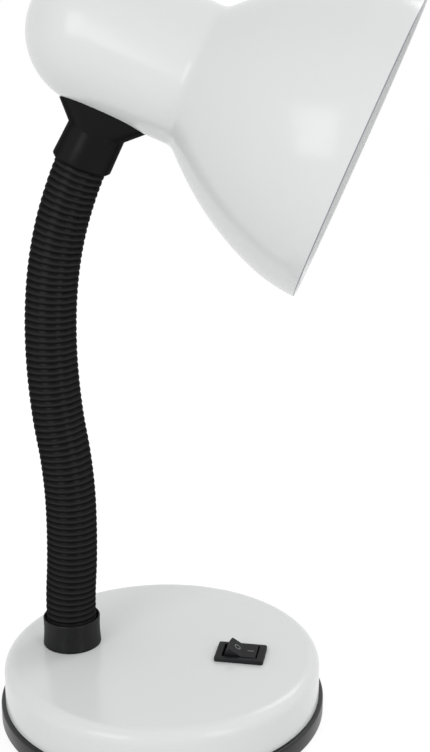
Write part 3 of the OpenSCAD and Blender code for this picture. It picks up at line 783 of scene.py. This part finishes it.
# %% Foot collar
neck_x = centre_of("neck_foot_collar").x
collar_top = top_of("neck_foot_collar")
collar_floor = cover_top + 2
socket_r, tube_hole_r = 10.97, 5.5
outline = rounded([(tube_hole_r, cover_top), (12.62, cover_top, 0.3),
                   (12.5, cover_top + 1.4, 1.5), (12.25, cover_top + 4.5, 6),
                   (12.15, cover_top + 8, 6), (12.3, collar_top - 0.3, 0.2),
                   (12.1, collar_top, 0.15), (11.7, collar_top - 0.1, 0.2),
                   (11.5, collar_top - 0.6, 0.3), (11.4, collar_top - 5),
                   (socket_r, collar_top - 5.4), (socket_r, collar_floor),
                   (tube_hole_r, collar_floor)])
piece(spun(outline, 96), "neck_foot_collar_skin", "base", collar_plastic,
      ["neck_foot_collar"], moved(neck_x, 0, 0))

# %% [markdown]
# ## The neck's curve
# The real neck is one bent tube, and in the frame it is a chain of joints. A curve through
# the joints turns the chain back into a tube. It could be a curve object with its handles set by
# hand, but points that are worked out follow the frame when it changes. Between two joints the
# line is a cubic that leaves and arrives in the direction of its neighbours, so at rest there is
# no kink at a joint.

# %% Neck centreline
neck_names = ["neck_bend_low", "neck_sway_low", "neck_bend_low_2", "neck_sway_low_2",
              "neck_bend_low_3", "neck_sway_low_3", "neck_bend_high", "neck_sway_high",
              "neck_bend_high_2", "neck_sway_high_2", "neck_bend_high_3", "neck_sway_high_3"]
joints = {joint["name"]: joint for joint in frame["joints"]}
centres = [Vector(joints[name]["pos_m"]) / MM for name in neck_names]
head_tilt = 22.5
up_neck = Vector((sin(head_tilt), 0, cos(head_tilt)))
mouth = centres[-1] + 10 * up_neck
sleeve_end = mouth + 2.5 * up_neck
stops = [Vector((neck_x, 0, collar_floor))] + centres + [sleeve_end]
lengths = [(b - a).length for a, b in zip(stops, stops[1:])]
starts = [sum(lengths[:k]) for k in range(len(stops))]


def heading(k):
    """Direction of the smooth centreline at a stop."""
    if k == 0:
        return Vector((0, 0, 1))
    if k == len(stops) - 1:
        return up_neck
    before = (stops[k] - stops[k - 1]).normalized()
    after = (stops[k + 1] - stops[k]).normalized()
    return (before + after).normalized()


def along_neck(s):
    """Point and direction on the centreline, s millimetres from its foot."""
    k = max(i for i in range(len(lengths)) if s >= starts[i] or i == 0)
    t = (s - starts[k]) / lengths[k]
    a, b, size = stops[k], stops[k + 1], lengths[k]
    ta, tb = heading(k) * size, heading(k + 1) * size
    point = ((2 * t**3 - 3 * t**2 + 1) * a + (t**3 - 2 * t**2 + t) * ta
             + (-2 * t**3 + 3 * t**2) * b + (t**3 - t**2) * tb)
    slope = ((6 * t**2 - 6 * t) * a + (3 * t**2 - 4 * t + 1) * ta
             + (-6 * t**2 + 6 * t) * b + (3 * t**2 - 2 * t) * tb)
    return point, slope.normalized()


print("neck length", round(starts[-1], 1), "mm, from", tuple(round(v, 1) for v in stops[0]))

# %% [markdown]
# ## The ribbed sleeve
# The sleeve is a soft tube of small beads, and it is what catches the eye on this lamp. An
# array of rings along a curve could make it, but then each bend would be a row of steps. Here
# a straight length is spun, bead by bead, and its points are moved onto the neck's curve. The
# tube comes in twelve lengths that end in the grooves between two beads. Each is blended between
# the two sections that it joins, which spreads the bend of a joint over the length. The number
# that each point carries is high on a bead's crest, which is painted lighter as a painted
# highlight, and low in the grooves, which are painted near black as painted shade.

# %% Beads
rib_pitch, bead_depth, bead_steps = 2.7, 0.42, 8
# The last number sets how the painted highlight on a crest fades into the painted shade of the grooves
bead_crest, bead_bulge, crest_highlight_fade = 0.375, 1.8, 1.5
foot_r, head_r, bore_r = 10.8, 10.3, 8.4
half_section = 3 * rib_pitch


def bead_fall(s, phase):
    """0 on a bead's crest and 1 in the groove on either side of it."""
    up = ((s - phase) / rib_pitch) % 1
    if up < bead_crest:
        return (bead_crest - up) / bead_crest
    return (up - bead_crest) / (1 - bead_crest)


def sleeve_radius(s, phase):
    """Outer radius: beads that bulge a little below their middle and meet in grooves."""
    crown = foot_r + (head_r - foot_r) * (s / starts[-1])**3
    return crown - bead_depth * bead_fall(s, phase)**bead_bulge


def bent(bm):
    """Moves a straight tube's points onto the centreline."""
    for vert in bm.verts:
        centre, ahead = along_neck(vert.co.z)
        outward = Vector((ahead.z, 0, -ahead.x))
        vert.co = centre + vert.co.x * outward + Vector((0, vert.co.y, 0))


print("beads on the neck:", round(starts[-1] / rib_pitch))

# %% Sleeve lengths
last = len(neck_names) - 1
for k in range(len(neck_names)):
    middle = starts[k + 1]
    low = 0 if k == 0 else middle - half_section
    high = starts[-1] if k == last else middle + half_section
    count = round((high - low) / rib_pitch * bead_steps)
    heights = [low + (high - low) * i / count for i in range(count + 1)]
    outside = [(sleeve_radius(s, middle), s) for s in heights]
    inside = [(bore_r, s) for s in heights[::-bead_steps]]
    if inside[-1][1] > low + 0.01:
        inside.append((bore_r, low))
    bm = spun(outside + inside, 72)
    # Each point carries its share of painted highlight: full on a crest, none in a groove's painted shade
    carry(bm, "crest", lambda spot: (1 - bead_fall(spot.z, middle))**crest_highlight_fade)
    bent(bm)
    hidden = ["neck_sleeve_%d" % (k + 1)] + (["neck_sleeve_0"] if k == 0 else [])
    sleeve = piece(bm, "sleeve_%02d" % k, None, ribbed_vinyl, hidden,
                   crease=60)
    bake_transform(sleeve)

# %% [markdown]
# ## The head's own frame
# The shade hangs tilted, and tilted things are hard to draw. Its pieces could be turned by hand
# one by one, but then they might not fit together. So the head is drawn upright and one matrix
# turns it into place: X runs along the shade's axis, Z along the coupling, and the origin is the
# middle of the coupling's mouth.

# %% Head frame
along_shade = Vector((cos(head_tilt), 0, -sin(head_tilt)))
head_place = Matrix((
    (along_shade.x, 0, up_neck.x, mouth.x),
    (0, 1, 0, 0),
    (along_shade.z, 0, up_neck.z, mouth.z),
    (0, 0, 0, 1)))
housing_r = 27.75
neck_l, flare_h = 15.5, 6.8
axis_rise = neck_l + flare_h + housing_r
coupling_back = 32.5
axis_place = head_place @ moved(coupling_back, 0, axis_rise) @ turned(90, "Y")
print("head's origin", tuple(round(v, 1) for v in mouth))

# %% [markdown]
# ## The top coupling
# This moulding is round where it takes the neck and flares into a saddle that lies on the round
# housing. Lofting between two curves would do, but the upper curve isn't known beforehand: it
# is wherever the flare meets the housing. So a circle is extruded into rings, and each point of
# the flare is set on a straight line that runs on until it meets the housing.

# %% Coupling's rings
coupling_bore_r = 5.3
rings = [(coupling_bore_r, 9), (8.1, 9), (8.1, 2.5), (10.5, 2.5), (10.5, 1.05), (10.58, 0.85),
         (10.8, 0.75), (11.0, 0.8), (11.8, 1.6), (11.93, 1.82), (11.96, 2.15), (11.7, 9),
         (11.52, 15.0), (11.53, 15.3), (11.62, 15.58)]
flare_rings = 9
bm = bmesh.new()
bmesh.ops.create_circle(bm, segments=144, radius=1)
edges = list(bm.edges)
for level in range(1, len(rings) + flare_rings + 2):
    grown = bmesh.ops.extrude_edge_only(bm, edges=edges)["geom"]
    edges = [g for g in grown if isinstance(g, bmesh.types.BMEdge)]
    bmesh.ops.translate(bm, vec=(0, 0, 1),
                        verts=[g for g in grown if isinstance(g, bmesh.types.BMVert)])
print("coupling drawn with", len(bm.verts), "points")

# %% Top coupling
saddle_half, saddle_side, squareness = 18.2, 12.7, 0.7
line_past = 3.6
neck_end_r = 11.5
lean, lean_from, skin_from = 0.09, 1.5, 8


def squared_off(value):
    return math.copysign(abs(value)**squareness, value)


def on_housing(y):
    """Height above the coupling's mouth at which the housing's round side is met."""
    return axis_rise - math.sqrt(housing_r**2 - y**2)


def saddle_edge(low, turn):
    """Where the straight line of the flare meets the housing, found step by step."""
    grow = (flare_h + line_past) / flare_h
    far = Vector(((neck_end_r + (saddle_half - neck_end_r) * grow)
                  * squared_off(math.cos(turn)),
                  saddle_side * squared_off(math.sin(turn)), neck_l + flare_h + line_past))
    reach = 0.5
    for _ in range(30):
        spot = low.lerp(far, reach)
        reach += (on_housing(spot.y) - spot.z) / (far.z - low.z)
    return low.lerp(far, reach)


for vert in bm.verts:
    level, turn = round(vert.co.z), math.atan2(vert.co.y, vert.co.x)
    r, h = rings[min(level, len(rings) - 1)]
    vert.co = (r * math.cos(turn), r * math.sin(turn), h)
    step = level - len(rings) + 1
    if 0 < step <= flare_rings:
        vert.co = vert.co.lerp(saddle_edge(vert.co, turn), step / flare_rings)
    elif step > flare_rings:
        y = coupling_bore_r * math.sin(turn)
        vert.co = (coupling_bore_r * math.cos(turn), y, on_housing(y))
    # The outside of the moulding leans a little towards the bell
    if vert.co.xy.length > skin_from:
        vert.co.x += lean * max(vert.co.z - lean_from, 0)
bmesh.ops.bridge_loops(bm, edges=[e for e in bm.edges if len(e.link_faces) == 1])
piece(bm, "top_coupling_skin", "head", black_moulding, ["top_coupling"],
      head_place, crease=40)

# %% [markdown]
# ## The shade
# One sheet of steel is spun over a former: a round-ended housing, a tight waist and a bell
# that flattens towards the rim. A curve could be pulled by eye, but a former is turned in
# arcs, so the outline is those arcs, drawn once for the outside and once a sheet's thickness
# further in. A half round hem joins them, and its outer half carries the number for the
# painted shade, a grey line along the rim.

# %% Shade's arcs
waist_x, waist_r, waist_slope = -3.4, 6, 42
back_x = waist_x - 40.3
bell_r1, bell_slope, bell_r2, rim_slope = 120, 19.5, 65, 2
rim_r, wall = 61, 1.0


def arc(centre_x, centre_r, r, first, last, steps):
    """An arc as (radius, distance) points, between two angles from the shade's axis."""
    angles = [first + (last - first) * i / steps for i in range(steps + 1)]
    return [(centre_r + r * sin(a), centre_x + r * cos(a)) for a in angles]


waist_end = (waist_x + waist_r * sin(waist_slope),
             housing_r + waist_r * (1 - cos(waist_slope)))
bell_rise = (bell_r1 * (cos(bell_slope) - cos(waist_slope))
             + bell_r2 * (cos(rim_slope) - cos(bell_slope)))
cone_rise = rim_r - waist_end[1] - bell_rise
cone_end = (waist_end[0] + cone_rise / tan(waist_slope), waist_end[1] + cone_rise)
c1 = (cone_end[0] + bell_r1 * sin(waist_slope), cone_end[1] - bell_r1 * cos(waist_slope))
bell_mid = (c1[0] - bell_r1 * sin(bell_slope), c1[1] + bell_r1 * cos(bell_slope))
c2 = (bell_mid[0] + bell_r2 * sin(bell_slope), bell_mid[1] - bell_r2 * cos(bell_slope))


def shade_side(inset):
    """The shade's outline from the middle of its back to the rim, as (radius, distance)."""
    return (arc(back_x, 0, housing_r - inset, 180, 90, 30)
            + arc(waist_x, housing_r + waist_r, waist_r + inset, -90, waist_slope - 90, 12)
            + arc(*c1, bell_r1 - inset, 90 + waist_slope, 90 + bell_slope, 24)
            + arc(*c2, bell_r2 - inset, 90 + bell_slope - 1, 90 + rim_slope, 18))


print("bell from", round(waist_end[0], 1), "mm to the rim at", round(c2[0], 1), "mm")

# %% Shade
outside, inside = shade_side(0), shade_side(wall)
hem_t = (outside[-1][1] + inside[-1][1]) / 2
hem_r = (outside[-1][0] + inside[-1][0]) / 2
hem = [(hem_r + wall / 2 * cos(a), hem_t + wall / 2 * sin(a)) for a in range(15, 180, 15)]
bm = spun(outside + hem + inside[::-1], 192, closed=False)
# The hem's outer half is marked for the painted shade along the rim
carry(bm, "hem", lambda spot: float(spot.z > hem_t + 0.1 and spot.xy.length > hem_r))
piece(bm, "shade_skin", "head", shade_enamel, ["shade"], axis_place)

# %% [markdown]
# ## The bulb
# A small opal globe fills the bell. Its glass narrows in a smooth neck before it enters the
# cap, and a plain ball on a tube would miss that. So the outline is a short swelling arc that
# runs into the globe's arc without a corner, and the glass has its thickness.

# %% Bulb globe
globe_r, neck_r, swell_r, glass = 22.5, 6.5, 9, 0.8
cap_front, neck_in_cap = 4, 6
globe_x = cap_front + math.sqrt((globe_r + swell_r)**2 - (neck_r + swell_r)**2)
swell = math.degrees(math.asin((neck_r + swell_r) / (globe_r + swell_r)))
outline = ([(neck_r, cap_front - neck_in_cap)]
           + [(neck_r + swell_r - swell_r * cos(a), cap_front + swell_r * sin(a))
              for a in [(90 - swell) * i / 10 for i in range(11)]]
           + [(globe_r * cos(a), globe_x + globe_r * sin(a))
              for a in [swell - 90 + (180 - swell) * i / 40 for i in range(1, 41)]])
inner = [(max(r - glass, 0), t - (glass if r < 0.1 else 0)) for r, t in outline[::-1]]
piece(spun(outline + inner, 96, closed=False), "bulb_globe_skin", "head",
      opal_glass, ["bulb_globe"], axis_place)

# %% [markdown]
# ## The lamp holder
# The holder is a glazed ceramic cup with a groove round its front. It can be seen past the
# bulb when one looks into the bell. The frame's own piece could stay, but glaze shows every
# edge, so the section is spun again with rounded corners.

# %% Lamp holder
holder_r, groove_r, holder_back = 13.8, 12.3, -22
shell_r, wire_hole_r = 7.55, 1.8
outline = rounded([(wire_hole_r, holder_back), (holder_r, holder_back, 1.2),
                   (holder_r, 0, 0.6), (groove_r, 0, 0.4), (groove_r, 4, 0.4),
                   (holder_r, 4, 0.5), (holder_r, 6, 0.5), (9.5, 6, 0.5), (shell_r, 3),
                   (shell_r, -18), (wire_hole_r, -18)])
piece(spun(outline, 96), "holder_body_skin", "head", glazed_ceramic,
      ["holder_body"], axis_place)

# %% [markdown]
# ## Finishes on the frame's own pieces
# What sits inside the lamp keeps the frame's shape and only needs its finish. Each piece could
# be given its finish by name, but the record says what each one is made of, so one table from
# material to finish dresses them all.

# %% Dress the inner pieces
inner_finishes = {
    "zinc_steel": zinc_plate, "cast_iron": cast_iron, "brass": turned_brass,
    "lead_pvc": white_lead, "cap_metal": rolled_cap, "black_plastic": black_moulding,
    "switch_plastic": switch_black, "sleeve_rubber": ribbed_vinyl, "white_paint": white_enamel,
    "pad_foam": black_foam, "holder_ceramic": glazed_ceramic, "opal_glass": opal_glass}
for part in frame["record"]["subparts"]:
    node = frame["nodes"][part["node"]]
    node.data.materials.clear()
    node.data.materials.append(inner_finishes[part["material_slot"]])
